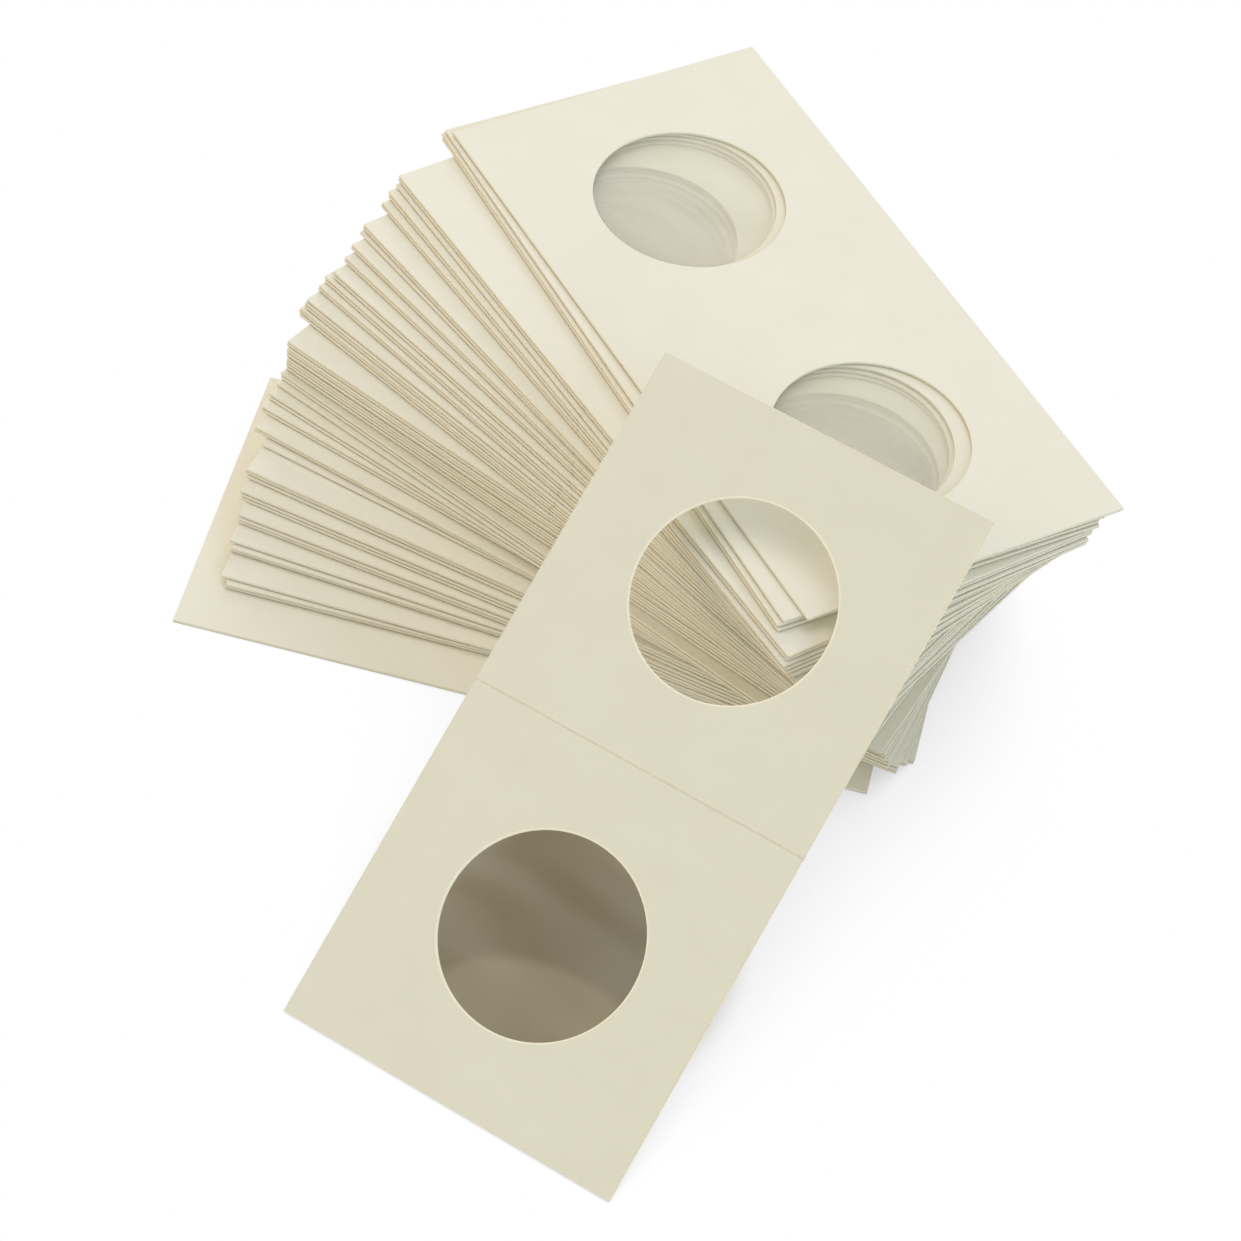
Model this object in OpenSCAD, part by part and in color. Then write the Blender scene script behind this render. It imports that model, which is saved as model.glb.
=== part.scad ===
// A pack of card flips for coins: a fanned pile of open flips, and one open flip leaning on it.
// Millimetres. X runs along the leaning flip's foot, Y to the back, Z up from the table.
// The origin is the middle of the lowest flip, on the table.

/* [Flip] */
// Width of a flip, the length of its short side
flip_w = 50.8; // [44:0.2:60]
// Length of one half of a flip, from its crease to its short side
panel_l = 50.8; // [46:0.2:56]
// Thickness of the card
card_t = 0.45; // [0.35:0.05:0.6]
// Thickness of the clear film that is glued over one face of the card
film_t = 0.06; // [0.04:0.01:0.1]
// Diameter of the round windows, one in each half
window_d = 28.1; // [16:0.1:38]

/* [Crease] */
// Width of the pressed crease between the two halves
crease_w = 0.8; // [0.4:0.1:1.6]
// Depth that the crease is pressed into the card
crease_depth = 0.15; // [0.05:0.01:0.25]
// Clearance between the crease's web and the half that folds on it
web_gap = 0.04; // [0.02:0.01:0.1]

/* [Pile] */
// Air between one flip of the pile and the next
air_gap = 0.13; // [0.1:0.01:0.3]
// Most that a flip lies off its neighbours where several lie flush
stagger = 0.15; // [0.05:0.05:0.5]
// Turn from the top flip of the fan to the lowest one, in degrees
fan_angle = 48.3; // [30:0.1:52]
// Turn of the top flip from the line of the leaning flip's foot, in degrees
pile_angle = 29.4; // [20:0.1:40]

/* [Leaning flip] */
// Distance along the table from the leaning flip's foot to the corner that it leans on
lean_reach = 66.4; // [62:0.1:75]
// Distance from that corner to the line up the middle of the leaning flip
lean_aside = 9.7; // [4:0.1:14]
// Clearance between the leaning flip and the corner under it
lean_gap = 0.25; // [0.2:0.05:0.5]

/* [Hidden] */
// Each row is a run of flips that lie flush, from the top of the fan down: the bundle that it
// belongs to, its count of flips, its turn as a share of the fan's turn, and how far its middle
// lies along and across the top flip from that flip's middle, as shares of a flip's width.
run_shares = [
    [1, 1, 0, 0, 0],
    [2, 1, -0.0272, -0.0181, -0.0322],
    [3, 2, -0.0317, -0.0146, -0.0437],
    [4, 2, 0.0671, 0.0283, -0.1417],
    [4, 1, 0.0653, 0.032, -0.1538],
    [5, 2, 0.0853, 0.0334, -0.1635],
    [5, 2, 0.1089, 0.0294, -0.1678],
    [6, 2, 0.166, 0.0364, -0.1982],
    [6, 1, 0.1826, 0.0309, -0.1953],
    [7, 2, 0.2179, 0.0345, -0.2064],
    [7, 2, 0.2479, 0.0324, -0.212],
    [8, 2, 0.2839, 0.0325, -0.2304],
    [8, 2, 0.2866, 0.0165, -0.2456],
    [9, 2, 0.3052, 0.0066, -0.2513],
    [9, 1, 0.3545, -0.0121, -0.2612],
    [10, 2, 0.3513, -0.0083, -0.2672],
    [10, 3, 0.3599, -0.0246, -0.2714],
    [11, 5, 0.4691, -0.0253, -0.273],
    [12, 6, 0.466, -0.04, -0.264],
    [13, 2, 0.453, -0.024, -0.29],
    [13, 1, 0.472, -0.028, -0.295],
    [13, 2, 0.518, -0.043, -0.3],
    [14, 2, 0.582, -0.075, -0.293],
    [14, 2, 0.617, -0.061, -0.315],
    [15, 1, 0.66, -0.049, -0.295],
    [15, 3, 0.727, -0.04, -0.34],
    [16, 3, 0.764, -0.031, -0.358],
    [17, 3, 0.81, -0.02, -0.368],
    [18, 1, 0.884, -0.037, -0.39],
    [18, 2, 0.898, -0.035, -0.388],
    [19, 1, 0.96, -0.026, -0.43],
    [19, 2, 0.988, -0.026, -0.42],
    [20, 1, 1, 0.004, -0.6]
];
// Overrun of each cut past the face that it leaves by
cut_over = 0.05;
// Angle from one flip's stagger to the next one's, the golden angle, so that no two repeat
stagger_step = 137.5;

// One entry a flip, from the top down: bundle, turn, and place along and across the top flip
flips = [for (run = run_shares) for (i = [1:run[1]])
    [run[0], run[2] * fan_angle, run[3] * flip_w, run[4] * flip_w]];
flip_count = len(flips);
low_flip = flips[flip_count - 1];
bundle_count = low_flip[0];

flip_t = card_t + film_t;
pitch = flip_t + air_gap;
function lift(i) = (flip_count - 1 - i) * pitch;
function along(i) = flips[i][2] + stagger * sin(i * stagger_step);

// The corner of each flip that lies nearest to the leaning flip, in the part's frame
function turned(p, a) = [p[0] * cos(a) - p[1] * sin(a), p[0] * sin(a) + p[1] * cos(a)];
function from_low(p) = turned([p[0] - low_flip[2], p[1] - low_flip[3]], -pile_angle);
function near_corner(i) =
    from_low([along(i), flips[i][3]] + turned([panel_l, -flip_w / 2], flips[i][1]));

// The leaning flip's foot, and the slope at which it clears every near corner
foot = [near_corner(0)[0] - lean_aside, near_corner(0)[1] - lean_reach];
function slope_over(rise, run) = atan2(rise, run) + asin(lean_gap / norm([rise, run]));
lean_slope = max([for (i = [0:flip_count - 1])
    slope_over(lift(i) + flip_t, near_corner(i)[1] - foot[1])]);

function two_digits(n) = str(n < 10 ? "0" : "", n);
function bundle_name(b) =
    b == 1 ? "top_flip" : b == bundle_count ? "bottom_flip" : str("bundle_", two_digits(b));
function cards_node(b) = str(bundle_name(b), "_cards");
function films_node(b) = str(bundle_name(b), "_films");

$fn = 96;

// One half of a flip's card, its crease end at the origin and its length along X
module half_card() {
    difference() {
        translate([crease_w / 2, -flip_w / 2, 0])
            cube([panel_l - crease_w / 2, flip_w, card_t]);
        translate([panel_l / 2, 0, -cut_over])
            cylinder(d = window_d, h = card_t + 2 * cut_over);
    }
}

// The thin web that the press leaves under the crease, shortened at one end by a gap
module web(gap) {
    translate([-crease_w / 2, -flip_w / 2, 0])
        cube([crease_w - gap, flip_w, card_t - crease_depth]);
}

// One half of a flip's film, laid on the card's creased face
module half_film() {
    translate([0, -flip_w / 2, card_t])
        cube([panel_l, flip_w, film_t]);
}

// A whole card of the pile, in one piece with its crease, film side up
module whole_card() {
    union() {
        half_card();
        mirror([1, 0, 0])
            half_card();
        web(0);
    }
}

// A whole film of the pile
module whole_film() {
    half_film();
    mirror([1, 0, 0])
        half_film();
}

// Lays a flip at its place in the pile, film side down
module laid(i) {
    rotate([0, 0, -pile_angle])
        translate([along(i) - low_flip[2], flips[i][3] - low_flip[3], lift(i) + flip_t])
            rotate([180, 0, flips[i][1]])
                children();
}

module bundle_cards(b) {
    color("#E9E5D0")
        for (i = [0:flip_count - 1])
            if (flips[i][0] == b)
                laid(i)
                    whole_card();
}

module bundle_films(b) {
    color("#DDE3DA", 0.4)
        for (i = [0:flip_count - 1])
            if (flips[i][0] == b)
                laid(i)
                    whole_film();
}

// Stands a flip on its foot, leaning back on the pile, film side to the front
module leaned() {
    translate([foot[0], foot[1], 0])
        rotate([lean_slope, 0, 0])
            translate([0, panel_l, 0])
                rotate([0, 0, 90])
                    children();
}

module leaning_upper_card() {
    color("#E0DAC4")
        leaned()
            half_card();
}

module leaning_lower_card() {
    color("#E0DAC4")
        leaned()
            mirror([1, 0, 0])
                half_card();
}

module leaning_crease_web() {
    color("#CFC8AE")
        leaned()
            web(web_gap);
}

module leaning_upper_film() {
    color("#DDE3DA", 0.4)
        leaned()
            half_film();
}

module leaning_lower_film() {
    color("#DDE3DA", 0.4)
        leaned()
            mirror([1, 0, 0])
                half_film();
}

for (b = [1:bundle_count]) {
    bundle_cards(b);
    bundle_films(b);
}
leaning_lower_card();
leaning_upper_card();
leaning_crease_web();
leaning_lower_film();
leaning_upper_film();
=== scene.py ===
"""Card flips for coins: a fanned pile of open flips, and one open flip that leans on it.

Each flip is a strip of cream card with a round window in each half, a crease between the halves
and a clear film glued over one face. Blender works in metres; sizes below are in millimetres.
"""

import bpy
import numpy as np
from mathutils import Matrix, Vector


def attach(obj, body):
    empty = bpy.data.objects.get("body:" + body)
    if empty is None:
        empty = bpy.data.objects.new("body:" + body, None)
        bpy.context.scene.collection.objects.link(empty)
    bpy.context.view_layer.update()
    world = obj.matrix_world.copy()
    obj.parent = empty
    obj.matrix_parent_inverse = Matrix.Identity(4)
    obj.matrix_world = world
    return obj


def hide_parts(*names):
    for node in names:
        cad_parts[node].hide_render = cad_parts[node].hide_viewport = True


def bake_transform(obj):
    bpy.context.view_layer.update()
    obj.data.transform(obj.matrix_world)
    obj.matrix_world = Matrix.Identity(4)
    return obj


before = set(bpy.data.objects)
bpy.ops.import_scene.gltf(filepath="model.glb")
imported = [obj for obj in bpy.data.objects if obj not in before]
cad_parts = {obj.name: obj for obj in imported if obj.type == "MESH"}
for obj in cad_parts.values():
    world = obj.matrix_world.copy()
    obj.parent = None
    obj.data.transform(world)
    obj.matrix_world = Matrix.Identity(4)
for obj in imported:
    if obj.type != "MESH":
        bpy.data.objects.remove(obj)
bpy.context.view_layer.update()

MM = 0.001

# Sizes of a flip, as in the part's source
FLIP_W, PANEL_L = 50.8, 50.8
CARD_T, FILM_T = 0.45, 0.06
WINDOW_R = 28.1 / 2
CREASE_HALF = 0.8 / 2
CREASE_DEPTH = 0.15
# Sizes that only the look needs
EDGE_R = 0.05  # the slight rounding that the cutting die leaves on every edge
RIM_REACH, RIM_DROP = 0.24, 0.12  # the fuller one round a window, on the side that the die enters
CREASE_SPREAD = 0.17  # how far the pressed groove reaches from its middle
GLUE_GAP = 0.004  # keeps the film's inner face off the card's face
SAG = 0.09  # how far the film gives where nothing is behind it
WARP = 0.045  # how far a flip of the pile is out of flat
NEARLY = 1e-6  # what two equal lengths may differ by
SPOKES = 96  # even columns of a grid, round a window
PILE_NORMAL = np.array([0, 0, -1.0])  # the way that the film side of the pile's flips looks
# Each flip has a tone of its own, from 0 to 1
GOLDEN_SHARE = 0.618034  # step from one flip's tone to the next one's, so that no two repeat
LEAN_TONE = 0.5
TONE_APART = 40.0  # how far apart in the noise tones of 0 and 1 lie


# ---------------------------------------------------------------- meshes

def spokes_round():
    """Angles of the grid's columns: an even round, with four more close by each corner of the
    square, so that the walls shade flat up to the corner."""
    even = np.arange(SPOKES) * 2 * np.pi / SPOKES
    corners = np.pi / 4 + np.arange(4) * np.pi / 2
    near = np.radians([-0.5, -0.12, 0.12, 0.5])
    return np.unique(np.concatenate([even, (corners[:, None] + near).ravel()]).round(9))


def half_plan(rings, crease_edge):
    """Plan of half a flip. Each ring is (share, in, out): a circle that lies `in` outside the
    window's rim, and a square outline moved inwards by `out`, mixed by the share of the square.
    Columns go round. The side next to the crease lies at X = crease_edge."""
    a = spokes_round()
    circle = np.stack([np.cos(a), np.sin(a)])
    square = circle / np.abs(circle).max(0)
    share, inner, outer = (np.array(column)[:, None] for column in zip(*rings))
    half = PANEL_L / 2
    reach = np.where(square[0] < 0, half - crease_edge, half)
    x = half + circle[0] * (WINDOW_R + inner) * (1 - share) + square[0] * (reach - outer) * share
    y = circle[1] * (WINDOW_R + inner) * (1 - share) + square[1] * (FLIP_W / 2 - outer) * share
    return x, y


def rounded(d, radius=EDGE_R):
    """Drop of a rounded edge at distance d in from it: a quarter circle."""
    d = np.clip(d, 0, radius)
    return radius - np.sqrt(radius ** 2 - (radius - d) ** 2)


def groove(x):
    """Depth of the pressed crease at distance x from its middle: a bell curve."""
    return CREASE_DEPTH * np.exp(-(x / CREASE_SPREAD) ** 2)


def grid_faces(rows, columns, start=0):
    """Quads of a grid whose columns close up, wound anticlockwise seen from above."""
    i, j = np.meshgrid(np.arange(rows - 1), np.arange(columns), indexing="ij")
    k = (j + 1) % columns
    row, below = i * columns, (i + 1) * columns
    return np.stack([row + j, below + j, below + k, row + k], -1).reshape(-1, 4) + start


def two_sheets(x, y, front, back):
    """Points of a grid's front sheet, then of its back sheet."""
    return np.concatenate([np.stack([x, y, z], -1).reshape(-1, 3) for z in (front, back)])


def round_wall(row_start, columns, size):
    """Quads that join one row of the front sheet to the same row of the back sheet."""
    j = np.arange(columns)
    k = (j + 1) % columns
    return np.stack([k, j, j + size, k + size], -1) + row_start


def crease_seam(on_crease, last, size):
    """The points of both sheets' last rows that lie at the crease, and those of this half that
    the other half's come to lie on."""
    seam_from = np.flatnonzero(on_crease)
    seam_to = (-seam_from) % len(on_crease)
    return [np.concatenate([s + last, s + last + size]) for s in (seam_from, seam_to)]


def welded(half, seam):
    """Joins two halves at the crease. The second is the first one turned half round, so its
    column j meets the first one's column -j, and only the crease side's columns are joined."""
    points, quads, marks = half
    other = points * [-1, -1, 1]
    turned = np.arange(len(points)) + len(points)
    turned[seam[0]] = seam[1]
    quads = np.concatenate([quads, turned[quads]])
    used, quads = np.unique(quads, return_inverse=True)
    points = np.concatenate([points, other])[used]
    return points, quads.reshape(-1, 4), np.concatenate([marks, marks])


# Rings of half a card: close ones at the window's rim and at the outline, where it is rounded
CARD_RINGS = (
    [(0, d, 0) for d in (0, 0.015, 0.05, 0.1, 0.17, RIM_REACH, 0.3)]
    + [(0.33, 0.3, 0.9), (0.7, 0.3, 0.9)]
    + [(1, 0, d) for d in (0.9, 0.3, 0.19, 0.08, 0.05, 0.012, 0)]
)


def card_half(crease_edge, open_crease):
    """Half a card: two sheets on one plan, a wall round the window and one round the outline. The
    front drops at every cut edge and into the crease's groove. Marks are 1 on cut faces and on a
    thin ring round a window's rim, which takes the cut edge's material; on the leaning flip that
    material is a lighter copy, so the ring shows as a painted highlight. With open_crease there is
    no wall at the crease. Gives the mesh, as points, quads and marks, and the crease's seam."""
    x, y = half_plan(CARD_RINGS, crease_edge)
    rows, columns = x.shape
    rim = np.hypot(x - PANEL_L / 2, y) - WINDOW_R
    free = np.minimum(PANEL_L - x, FLIP_W / 2 - np.abs(y))
    edge = np.minimum(rim, free)
    pressed = rounded(rim, RIM_REACH) * RIM_DROP / RIM_REACH
    front = CARD_T - np.maximum(pressed, rounded(free)) - groove(x)
    back = rounded(edge)
    size = rows * columns
    last = size - columns
    outline = round_wall(last, columns, size)
    on_crease = x[-1] < crease_edge + NEARLY
    if open_crease:
        outline = outline[~(on_crease & np.roll(on_crease, -1))]
    quads = np.concatenate([
        grid_faces(rows, columns),
        grid_faces(rows, columns, size)[:, ::-1],
        round_wall(0, columns, size)[:, [1, 0, 3, 2]],
        outline,
    ])
    # How far in each point lies, where 1 is the end of the cut face that it is nearest to
    cut_or_rim = np.concatenate([np.minimum(rim / RIM_REACH, free / EDGE_R), edge / EDGE_R])
    cut = cut_or_rim.ravel()[quads].max(1) < 1 + NEARLY
    points = two_sheets(x, y, front, back)
    return (points, quads, cut.astype(int)), crease_seam(on_crease, last, size)


def whole_card():
    """A card of the pile in one piece: two halves welded at the crease."""
    return welded(*card_half(0, True))


# Rings of half a film: from a small ring at the window's middle out to the outline
FILM_RINGS = (
    [(0, r - WINDOW_R, 0) for r in (0.02, 3, 6, 9, 11.5, 13.2, WINDOW_R)]
    + [(0.5, 0, 0.9)]
    + [(1, 0, d) for d in (0.9, 0.3, 0.15, 0)]
)


def film_half(seed, open_crease):
    """Half a film: a thin slab on the card's front face, pressed into the crease with it. Over
    the window it gives by SAG * dome ** 1.5, where dome falls from 1 in the middle to 0 at the
    rim, and three sines add long shallow waves. Marks are 1 on its cut edge. The rest is as in
    card_half."""
    x, y = half_plan(FILM_RINGS, 0)
    rows, columns = x.shape
    chance = np.random.default_rng(seed)
    u, v = (x - PANEL_L / 2) / WINDOW_R, y / WINDOW_R
    dome = np.clip(1 - u ** 2 - v ** 2, 0, 1)
    sines = np.column_stack([chance.normal(0, 2.2, (3, 2)), chance.uniform(0, 6.3, 3)])
    waves = sum(np.sin(a * u + b * v + c) for a, b, c in sines) / len(sines)
    level = CARD_T - SAG * dome ** 1.5 * (0.55 + 0.45 * waves) - groove(x)
    size = rows * columns
    last = size - columns
    outline = round_wall(last, columns, size)
    on_crease = x[-1] < NEARLY
    if open_crease:
        outline = outline[~(on_crease & np.roll(on_crease, -1))]
    # The innermost ring is closed by quads that all start at its first column
    j = np.arange(columns)
    pole = np.stack([j[:-2:2] * 0, j[1:-1:2], j[2::2], (j[2::2] + 1) % columns], -1)
    sheets = np.concatenate([grid_faces(rows, columns), grid_faces(rows, columns, size)[:, ::-1]])
    quads = np.concatenate([sheets, outline, pole, pole[:, ::-1] + size])
    cut = np.zeros(len(quads), int)
    cut[len(sheets):][:len(outline)] = 1
    points = two_sheets(x, y, level + FILM_T, level + GLUE_GAP)
    return (points, quads, cut), crease_seam(on_crease, last, size)


def whole_film(seed):
    """A film of the pile in one piece."""
    return welded(*film_half(seed, True))


def crease_strip():
    """The pressed strip between the halves: a closed band whose front dips by the groove's curve
    and whose back is flat, rounded off at both sides of the flip like the card. All its faces are
    marked 0."""
    x = np.linspace(-CREASE_HALF, CREASE_HALF, 17)
    inset = np.array([0, 0.012, 0.05, 0.08])
    y = np.concatenate([inset, FLIP_W * np.arange(1, 12) / 12, FLIP_W - inset[::-1]]) - FLIP_W / 2
    x, y = np.meshgrid(x, y, indexing="ij")
    drop = rounded(FLIP_W / 2 - np.abs(y))
    points = two_sheets(x, y, CARD_T - groove(x) - drop, drop)
    i = np.arange(x.size).reshape(x.shape)
    top = np.stack([i[:-1, :-1], i[1:, :-1], i[1:, 1:], i[:-1, 1:]], -1).reshape(-1, 4)
    ring = np.concatenate([i[0, :-1], i[:-1, -1], i[-1, :0:-1], i[:0:-1, 0]])
    after = np.roll(ring, -1)
    wall = np.stack([ring, after, after + x.size, ring + x.size], -1)
    quads = np.concatenate([top, top[:, ::-1] + x.size, wall])
    return points, quads, np.zeros(len(quads), int)


def warped(points, seed):
    """A flip's slight bow, twist and curl: z moves by a mix of its length squared, its length
    times its width and its width squared, less than WARP in all, so that it never reaches its
    neighbours."""
    bow, twist, curl = np.random.default_rng(seed).uniform(-1, 1, 3)
    u, v = points[:, 0] / PANEL_L, points[:, 1] / FLIP_W * 2
    bent = 0.5 * bow * (u ** 2 - 0.4) + 0.3 * twist * u * v + 0.2 * curl * (v ** 2 - 0.4)
    return points + WARP * bent[:, None] * [0, 0, 1]


def placed(points, origin, along, normal):
    """Points of a flip in the part's frame: its length along `along`, its film side to `normal`."""
    across = np.cross(normal, along)
    return points @ np.stack([along, across, normal]) + origin


def new_piece(name, parts, materials):
    """One mesh piece from several parts, each (points in mm, quads, marks, tone). A quad's mark
    is the number of its material."""
    points, quads, marks, tones = zip(*parts)
    counts = [len(part) for part in points]
    starts = np.cumsum(counts) - counts
    quads = np.concatenate([part + start for part, start in zip(quads, starts)])
    mesh = bpy.data.meshes.new(name)
    mesh.from_pydata(np.concatenate(points) * MM, [], quads.tolist())
    mesh.polygons.foreach_set("use_smooth", np.ones(len(quads), bool))
    mesh.polygons.foreach_set("material_index", np.concatenate(marks).astype(np.int32))
    tone = mesh.attributes.new("tone", "FLOAT", "POINT")
    tone.data.foreach_set("value", np.repeat(tones, counts).astype(np.float32))
    for material in materials:
        mesh.materials.append(material)
    mesh.validate()
    mesh.update()
    piece = bpy.data.objects.new(name, mesh)
    bpy.context.scene.collection.objects.link(piece)
    return piece


# ---------------------------------------------------------------- materials

def linear(colour):
    """A colour written as sRGB hex, as linear red, green, blue and alpha."""
    s = np.array([int(colour[i:i + 2], 16) / 255 for i in (1, 3, 5)])
    return tuple(np.where(s <= 0.04045, s / 12.92, ((s + 0.055) / 1.055) ** 2.4)) + (1.0,)


def add(tree, kind, inputs=(), **settings):
    """Adds a node, sets its properties, and sets or links its inputs. Gives its outputs."""
    made = tree.nodes.new(kind)
    for name, value in settings.items():
        setattr(made, name, value)
    for key, value in dict(inputs).items():
        if isinstance(value, bpy.types.NodeSocket):
            tree.links.new(value, made.inputs[key])
        else:
            made.inputs[key].default_value = value
    return made.outputs


def new_material(name):
    """An empty material and its node tree."""
    material = bpy.data.materials.new(name)
    material.use_nodes = True
    material.node_tree.nodes.clear()
    return material, material.node_tree


def flip_values(tree):
    """Object coordinates, the flip's own tone from 0 to 1, and an offset of its own for noise."""
    place = add(tree, "ShaderNodeTexCoord")["Object"]
    tone = add(tree, "ShaderNodeAttribute", attribute_name="tone")["Fac"]
    own = add(tree, "ShaderNodeMath", {0: tone, 1: TONE_APART}, operation="MULTIPLY")[0]
    return place, tone, own


def seen_directly(tree):
    """1 for what the camera sees by itself, in a reflection or through the film, otherwise 0."""
    path = add(tree, "ShaderNodeLightPath")
    seen = add(tree, "ShaderNodeMath", {0: path["Is Camera Ray"], 1: path["Is Glossy Ray"]},
               operation="ADD")[0]
    return add(tree, "ShaderNodeMath", {0: seen, 1: path["Is Transmission Ray"]},
               operation="ADD", use_clamp=True)[0]


def card_face(name, light, dark):
    """Uncoated cream card stock, calendered: matt, with a faint cloudy tone where the fibres lie
    denser, and a soft fibre texture. Fibres are about 0.05 mm wide; they are drawn at 0.3 mm."""
    material, tree = new_material(name)
    place, tone, own = flip_values(tree)
    clouds = add(tree, "ShaderNodeTexNoise", {
        "Vector": place, "W": own, "Scale": 1 / (7 * MM), "Detail": 3.0,
    }, noise_dimensions="4D")[0]
    fibres = add(tree, "ShaderNodeTexNoise", {
        "Vector": place, "W": own, "Scale": 1 / (0.3 * MM), "Detail": 2.0, "Distortion": 1.2,
    }, noise_dimensions="4D")[0]
    mixed = add(tree, "ShaderNodeMath", {0: clouds, 1: fibres}, operation="ADD")[0]
    shade = add(tree, "ShaderNodeMapRange", {"Value": mixed, "From Min": 0.7, "From Max": 1.3})[0]
    # The mix of the two colours is 0.6 from the noise and 0.4 from the flip's own tone
    toned = add(tree, "ShaderNodeMath", {0: shade, 1: 0.6}, operation="MULTIPLY")[0]
    toned = add(tree, "ShaderNodeMath", {0: tone, 1: 0.4, 2: toned}, operation="MULTIPLY_ADD")[0]
    colour = add(tree, "ShaderNodeMix", {0: toned, 6: linear(light), 7: linear(dark)},
                 data_type="RGBA")[2]
    bump = add(tree, "ShaderNodeBump", {
        "Strength": 0.25, "Distance": 0.03 * MM, "Height": fibres,
    })[0]
    rough = add(tree, "ShaderNodeMapRange", {"Value": clouds, "To Min": 0.58, "To Max": 0.72})[0]
    shader = add(tree, "ShaderNodeBsdfPrincipled", {
        "Base Color": colour, "Roughness": rough, "Normal": bump, "IOR": 1.45,
    })[0]
    add(tree, "ShaderNodeOutputMaterial", {"Surface": shader})
    return material


def card_edge(name, light, dark, slope):
    """The card's die-cut edge: raw pressed fibre in fine layers along the sheet, in the two colours
    given: on the pile a little browner than the faces, on the leaning flip lighter than its face, a
    painted highlight. Layers are about 0.04 mm; they are drawn at 0.1 mm. The slope, in degrees,
    turns the layers into the plane of a flip that leans."""
    material, tree = new_material(name)
    place, _, own = flip_values(tree)
    level = add(tree, "ShaderNodeVectorRotate", {"Vector": place, "Angle": -np.radians(slope)},
                rotation_type="X_AXIS")[0]
    # Streaks 2.5 mm long and 0.1 mm high
    layers = add(tree, "ShaderNodeMapping", {
        "Vector": level, "Scale": (1 / (2.5 * MM), 1 / (2.5 * MM), 1 / (0.1 * MM)),
    })[0]
    streaks = add(tree, "ShaderNodeTexNoise", {
        "Vector": layers, "W": own, "Scale": 1.0, "Detail": 3.0,
    }, noise_dimensions="4D")[0]
    shade = add(tree, "ShaderNodeMapRange", {"Value": streaks, "From Min": 0.3, "From Max": 0.7})[0]
    colour = add(tree, "ShaderNodeMix", {0: shade, 6: linear(light), 7: linear(dark)},
                 data_type="RGBA")[2]
    bump = add(tree, "ShaderNodeBump", {
        "Strength": 0.2, "Distance": 0.03 * MM, "Height": streaks,
    })[0]
    shader = add(tree, "ShaderNodeBsdfPrincipled", {
        "Base Color": colour, "Roughness": 0.85, "Normal": bump, "IOR": 1.45,
    })[0]
    add(tree, "ShaderNodeOutputMaterial", {"Surface": shader})
    return material


def clear_film(name, haze_and_reflection, thin, thick, turn):
    """Clear polyester film, glued on: glossy and see-through, with a faint milky tint that is
    partly the film's own and partly a painted reflection of the pale room it mirrors, fuller at a
    slant. Long shallow waves lie 8 mm apart where the film is pulled tight; they bend its surface
    and streak the painted reflection. The turn is their direction, in degrees."""
    material, tree = new_material(name)
    place, _, own = flip_values(tree)
    stretched = add(tree, "ShaderNodeMapping", {
        "Vector": place, "Rotation": (0.0, 0.0, np.radians(-turn)), "Scale": (0.3, 1.0, 1.0),
    })[0]
    waves = add(tree, "ShaderNodeTexNoise", {
        "Vector": stretched, "W": own, "Scale": 1 / (8 * MM), "Detail": 1.0,
    }, noise_dimensions="4D")[0]
    bump = add(tree, "ShaderNodeBump", {"Strength": 0.5, "Distance": 0.4 * MM, "Height": waves})[0]
    slant = add(tree, "ShaderNodeLayerWeight", {"Blend": 0.35})["Facing"]
    fuller = add(tree, "ShaderNodeMath", {0: slant, 1: waves}, operation="ADD")[0]
    alpha = add(tree, "ShaderNodeMapRange", {
        "Value": fuller, "From Min": 0.36, "From Max": 0.9, "To Min": thin, "To Max": thick,
    })[0]
    shader = add(tree, "ShaderNodeBsdfPrincipled", {
        "Base Color": linear(haze_and_reflection), "Roughness": 0.12, "IOR": 1.65, "Alpha": alpha, "Normal": bump,
    })[0]
    add(tree, "ShaderNodeOutputMaterial", {"Surface": shader})
    return material


def film_edge(name, colour):
    """The film's cut edge with its line of glue, a little uneven every 2 mm, in the colour given.
    In the pile a dark copy paints the shade of the gaps between the flips, so it shows as a thin
    dull line under each card; on the leaning flip a pale copy is painted light."""
    material, tree = new_material(name)
    place = add(tree, "ShaderNodeTexCoord")["Object"]
    uneven = add(tree, "ShaderNodeTexNoise", {
        "Vector": place, "Scale": 1 / (2 * MM), "Detail": 2.0,
    })[0]
    shade = add(tree, "ShaderNodeMapRange", {
        "Value": uneven, "From Min": 0.3, "From Max": 0.7, "To Min": 0.8, "To Max": 1.2,
    })[0]
    toned = add(tree, "ShaderNodeHueSaturation", {"Value": shade, "Color": linear(colour)})[0]
    shader = add(tree, "ShaderNodeBsdfPrincipled", {
        "Base Color": toned, "Roughness": 0.4, "IOR": 1.5,
    })[0]
    add(tree, "ShaderNodeOutputMaterial", {"Surface": shader})
    return material


# ---------------------------------------------------------------- where the flips lie

def corners_of(node):
    """Every different corner point of a CAD node, in millimetres."""
    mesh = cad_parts[node].data
    points = np.empty(len(mesh.vertices) * 3, np.float32)
    mesh.vertices.foreach_get("co", points)
    return np.unique((points.reshape(-1, 3).astype(float) / MM).round(4), axis=0)


def unit(direction):
    """A direction brought to length one."""
    return direction / np.linalg.norm(direction)


def pile_places(node):
    """Middle of the lower face and direction of each film of a bundle, from the top down. A film
    is a flat box, so that face has four corners. The second farthest from one of them lies at the
    other end of its long side."""
    points = corners_of(node)
    lower_faces = np.unique(points[:, 2].round(3))[::2]
    found = []
    for height in lower_faces[::-1]:
        four = points[np.abs(points[:, 2] - height) < 0.01]
        far = four[np.argsort(np.linalg.norm(four - four[0], axis=1))]
        along = unit(far[2] - far[0])
        found.append((four.mean(0), along))
    return found


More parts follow.
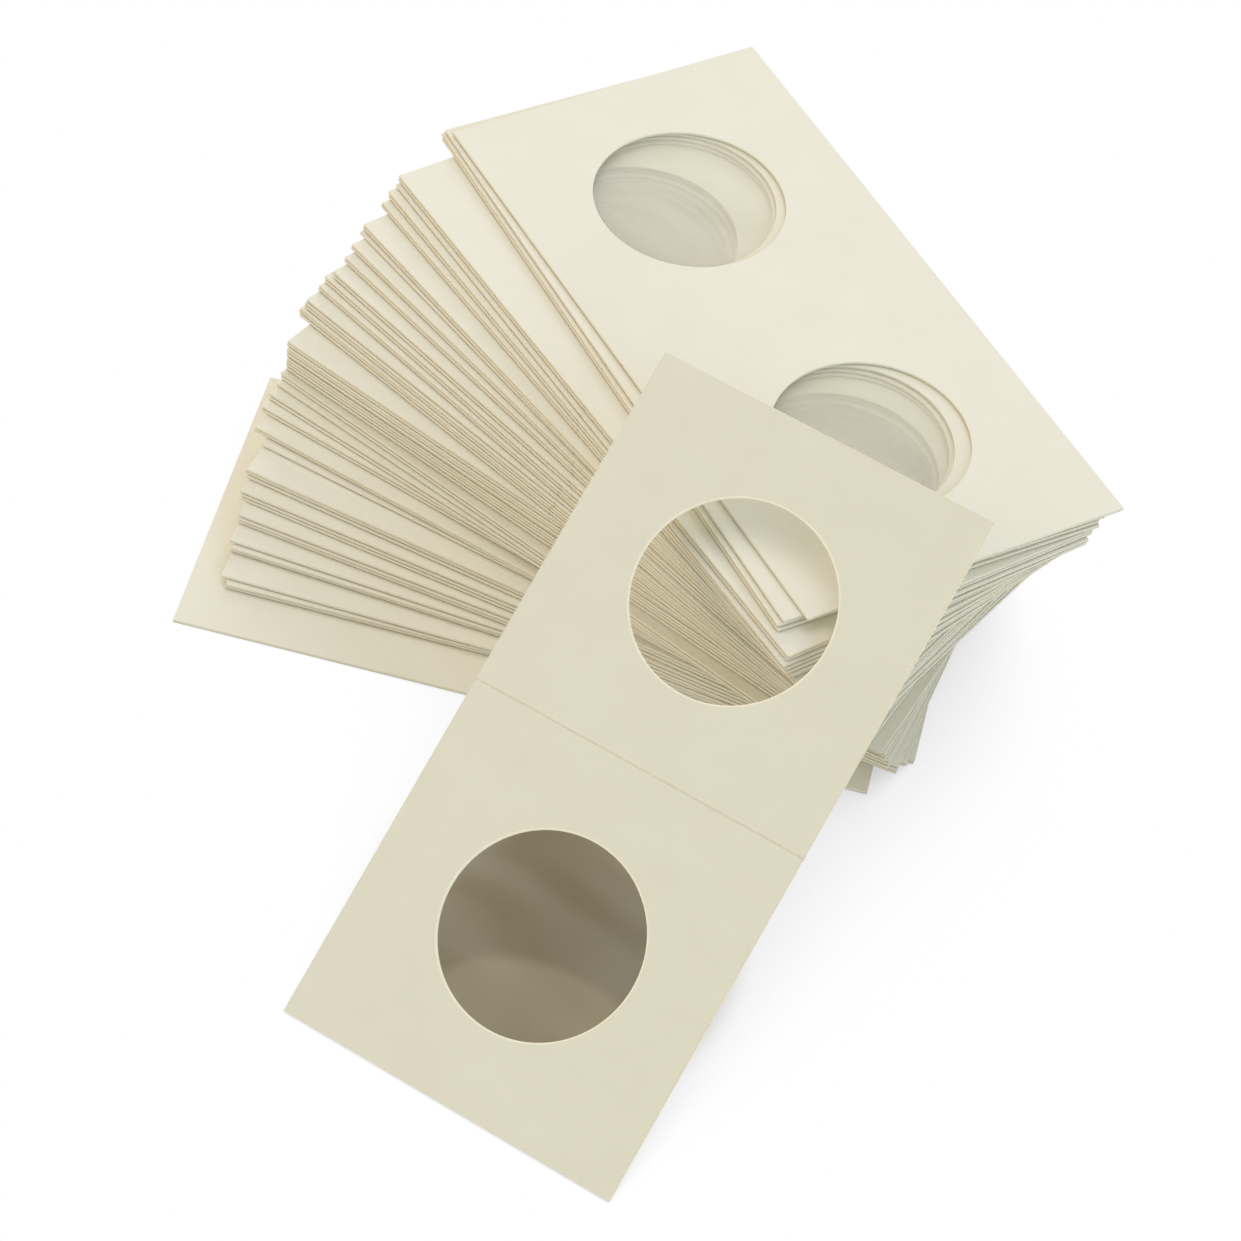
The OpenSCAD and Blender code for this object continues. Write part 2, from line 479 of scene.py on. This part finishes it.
def leaning_place():
    """The leaning flip's crease middle on the card's back, its way up the slope and its normal.
    The film's lowest four corners are its end at the crease, its highest four its upper end."""
    points = corners_of("leaning_upper_film")
    points = points[np.argsort(points[:, 2])]
    up = unit(points[4:].mean(0) - points[:4].mean(0))
    normal = np.cross([1, 0, 0], up)
    return points[:4].mean(0) - normal * (CARD_T + FILM_T / 2), up, normal


# ---------------------------------------------------------------- the pieces

lean_middle, lean_up, lean_normal = leaning_place()
lean_slope = np.degrees(np.arctan2(lean_up[2], lean_up[1]))

face = card_face("cream_card_calendered", "#ECE9D8", "#E8E4D1")
edge = card_edge("cream_card_die_cut", "#EBE7D5", "#E1DAC3", 0)
film = clear_film("polyester_film_clear", "#F4F1E0", 0.02, 0.13, 60)
# Painted shade: the pile's film edges are dark, for the shade in the gaps between the flips
shaded_film_edge = film_edge("polyester_film_cut_edge", "#A79A7A")
# The leaning flip's card lies under its film. Its face is a darker copy of the pile's card, painted
# shade for its tilt away from the light; its cut edges are a lighter copy, a painted highlight
lean_face = card_face("cream_card_calendered_painted_shade", "#E5E1CC", "#E0DBC5")
lean_edge = card_edge("cream_card_die_cut_painted_highlight", "#FAF4DC", "#F1EAD0", lean_slope)
lean_film = clear_film("polyester_film_clear_leaning", "#F4F2E4", 0.01, 0.09, 0)
# Painted light: the leaning flip's film edges are a pale, lit copy of the same edge
lit_film_edge = film_edge("polyester_film_cut_edge_lit", "#F6F2E2")

card = whole_card()
bundles = ["top_flip"] + [f"bundle_{b:02d}" for b in range(2, 20)] + ["bottom_flip"]
number = 0  # of the flip, from the top of the pile down; also the seed of its warp and its waves
for bundle in bundles:
    cards, films = [], []
    for middle, along in pile_places(f"{bundle}_films"):
        number += 1
        origin = middle + [0, 0, FILM_T + CARD_T]
        tone = (number * GOLDEN_SHARE) % 1
        for (points, *rest), kept in ((card, cards), (whole_film(number), films)):
            # The top flip and the bottom one stay flat, inside the CAD's box
            if bundle not in ("top_flip", "bottom_flip"):
                points = warped(points, number)
            kept.append((placed(points, origin, along, PILE_NORMAL), *rest, tone))
    for kind, kept, materials, slot in (
        ("cards", cards, [face, edge], "pile_card"),
        ("films", films, [film, shaded_film_edge], "film"),
    ):
        piece = new_piece(f"{bundle}_{kind}_fine", kept, materials)
        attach(piece, bundle)
        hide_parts(f"{bundle}_{kind}")


def leaning_part(mesh, along):
    """The one part that a piece of the leaning flip is made from, laid in its place."""
    points, *rest = mesh
    return [(placed(points, lean_middle, along, lean_normal), *rest, LEAN_TONE)]


# The seeds of the leaning films' waves lie past those of the pile
half, _ = card_half(CREASE_HALF, False)
for body, along, seed in (("leaning_lower", -lean_up, 101), ("leaning_upper", lean_up, 102)):
    sheet, _ = film_half(seed, False)
    for kind, mesh, materials, slot in (
        ("card", half, [lean_face, lean_edge], "leaning_card"),
        ("film", sheet, [lean_film, lit_film_edge], "film"),
    ):
        piece = new_piece(f"{body}_{kind}_fine", leaning_part(mesh, along), materials)
        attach(piece, body)
        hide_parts(f"{body}_{kind}")

strip = leaning_part(crease_strip(), lean_up)
piece = new_piece("leaning_crease_fine", strip, [lean_face, lean_edge])
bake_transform(piece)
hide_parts("leaning_crease_web")


# ---------------------------------------------------------------- table, light and camera

def table_top():
    """A plain pale table. Where it is open it shows as white with a faint painted shadow, as a
    cut-out photo does. Under the leaning flip, where the view through its lower window meets it,
    the camera sees a darker taupe: painted shade, on top of the real shade that the lamps give
    there."""
    material, tree = new_material("table_plain_pale")
    seen = seen_directly(tree)
    # How much of what is above a point is open, within 80 mm
    sky = add(tree, "ShaderNodeAmbientOcclusion", {"Distance": 80 * MM}, samples=24)["AO"]
    place = add(tree, "ShaderNodeTexCoord")["Object"]
    # Where the line of sight through the leaning flip's lower window meets the table: the middle of
    # the patch of painted shade
    under = (lean_middle - lean_up * PANEL_L / 2 + [-5, 9.5, 0]) * MM
    off = add(tree, "ShaderNodeVectorMath", {0: place, 1: (under[0], under[1], 0.0)},
              operation="SUBTRACT")[0]
    off = add(tree, "ShaderNodeVectorMath", {0: off}, operation="LENGTH")["Value"]
    outside = add(tree, "ShaderNodeMapRange", {
        "Value": off, "From Min": 19 * MM, "From Max": 30 * MM,
    }, interpolation_type="SMOOTHSTEP")[0]
    # Clear where most of that is open, or where the window's view doesn't reach
    clear = add(tree, "ShaderNodeMapRange", {
        "Value": sky, "From Min": 0.42, "From Max": 0.6,
    }, interpolation_type="SMOOTHSTEP")[0]
    clear = add(tree, "ShaderNodeMath", {0: clear, 1: outside}, operation="MAXIMUM")[0]
    white = add(tree, "ShaderNodeMath", {0: seen, 1: clear}, operation="MULTIPLY")[0]
    grain = add(tree, "ShaderNodeTexNoise", {
        "Vector": place, "Scale": 1 / (12 * MM), "Detail": 4.0,
    })[0]
    # Painted shade: the darker taupe that the camera sees under the leaning flip
    taupe = add(tree, "ShaderNodeMix", {0: grain, 6: linear("#958C75"), 7: linear("#898069")},
                data_type="RGBA")[2]
    # Light that bounces off it meets a paler beige
    colour = add(tree, "ShaderNodeMix", {0: seen, 6: linear("#D8D2BE"), 7: taupe},
                 data_type="RGBA")[2]
    matt = add(tree, "ShaderNodeBsdfDiffuse", {"Color": colour})[0]
    shadow = add(tree, "ShaderNodeMapRange", {
        "Value": sky, "From Min": 0.0, "From Max": 0.7, "To Min": 0.55, "To Max": 1.0,
    }, interpolation_type="SMOOTHSTEP")[0]
    glow = add(tree, "ShaderNodeEmission", {"Color": linear("#FFFFFF"), "Strength": shadow})[0]
    mixed = add(tree, "ShaderNodeMixShader", {0: white, 1: matt, 2: glow})[0]
    add(tree, "ShaderNodeOutputMaterial", {"Surface": mixed})
    mesh = bpy.data.meshes.new("table")
    # Six metres wide, and a hair under the flips, so that no two faces share a plane
    square = ((-1, -1), (1, -1), (1, 1), (-1, 1))
    mesh.from_pydata([(x * 3, y * 3, -0.02 * MM) for x, y in square], [], [(0, 1, 2, 3)])
    mesh.materials.append(material)
    table = bpy.data.objects.new("table", mesh)
    bpy.context.scene.collection.objects.link(table)
    return table


def soft_light(name, direction, share, colour, size, distance=2.6):
    """A square soft light, aimed at the pile; size and distance are in metres. Its share is the
    part that it adds to the light on a level face, where 1 in all shows a colour as written."""
    lamp = bpy.data.lights.new(name, "AREA")
    lamp.shape, lamp.size, lamp.color = "SQUARE", size, linear(colour)[:3]
    towards = unit(np.array(direction, float))
    lamp.energy = share * np.pi ** 2 * distance ** 2 / towards[2]
    light = bpy.data.objects.new(name, lamp)
    light.location = towards * distance
    light.rotation_euler = Vector(towards).to_track_quat("Z", "Y").to_euler()
    bpy.context.scene.collection.objects.link(light)
    return light


def world_light(strength):
    """Even light from all round, itself seen as plain white."""
    world = bpy.data.worlds.new("studio")
    bpy.context.scene.world = world
    world.use_nodes = True
    tree = world.node_tree
    tree.nodes.clear()
    seen = seen_directly(tree)
    even = add(tree, "ShaderNodeBackground", {"Color": linear("#FFFFFF"), "Strength": strength})[0]
    white = add(tree, "ShaderNodeBackground", {"Color": linear("#FFFFFF"), "Strength": 1.0})[0]
    mixed = add(tree, "ShaderNodeMixShader", {0: seen, 1: even, 2: white})[0]
    add(tree, "ShaderNodeOutputWorld", {"Surface": mixed})


def main_camera():
    """The photo's camera, as fitted to the photo: its place, the way it looks and its right-hand
    side in the part's frame, and its lens."""
    place = np.array([169.58, -358.79, 441.7]) * MM
    forward = unit(np.array([-0.26802, 0.60619, -0.7488]))
    right = np.array([0.84683, 0.51885, 0.11693])
    right = unit(right - forward * (right @ forward))
    lens = bpy.data.cameras.new("photo_camera")
    lens.lens, lens.sensor_width, lens.sensor_fit = 118.11, 36.0, "HORIZONTAL"
    lens.clip_start, lens.clip_end = 0.01, 20.0
    camera = bpy.data.objects.new("photo_camera", lens)
    turn = np.eye(4)
    turn[:3] = np.column_stack([right, np.cross(right, forward), -forward, place])
    camera.matrix_world = Matrix(turn.tolist())
    bpy.context.scene.collection.objects.link(camera)
    bpy.context.scene.camera = camera


table = table_top()
# The small lamp that lights the table through the leaning flip's window: an arc in the photo.
# It lights nothing else.
overhead = soft_light("key_overhead", (-0.133, 0.133, 0.98), 0.24, "#FFFFFF", 0.06, distance=0.73)
lit_by_overhead = bpy.data.collections.new("lit_by_overhead")
lit_by_overhead.objects.link(table)
overhead.light_linking.receiver_collection = lit_by_overhead
soft_light("key_top", (-0.1, 0.1, 1.0), 0.16, "#FFFFFF", 0.5, distance=0.9)
soft_light("key_back_left", (-0.386, 0.877, 0.6), 0.08, "#FFFFFF", 0.8)
soft_light("fill_left", (-1.0, -0.5, 0.45), 0.135, "#FFE4C0", 1.8)
soft_light("fill_right", (1.0, -0.4, 0.45), 0.155, "#C8E2FF", 1.8)
world_light(0.57)
main_camera()

scene = bpy.context.scene
scene.view_settings.view_transform = "Standard"
scene.cycles.transparent_max_bounces = 96  # through every film of the pile
scene.cycles.diffuse_bounces = 10  # lets light reach in between the flips
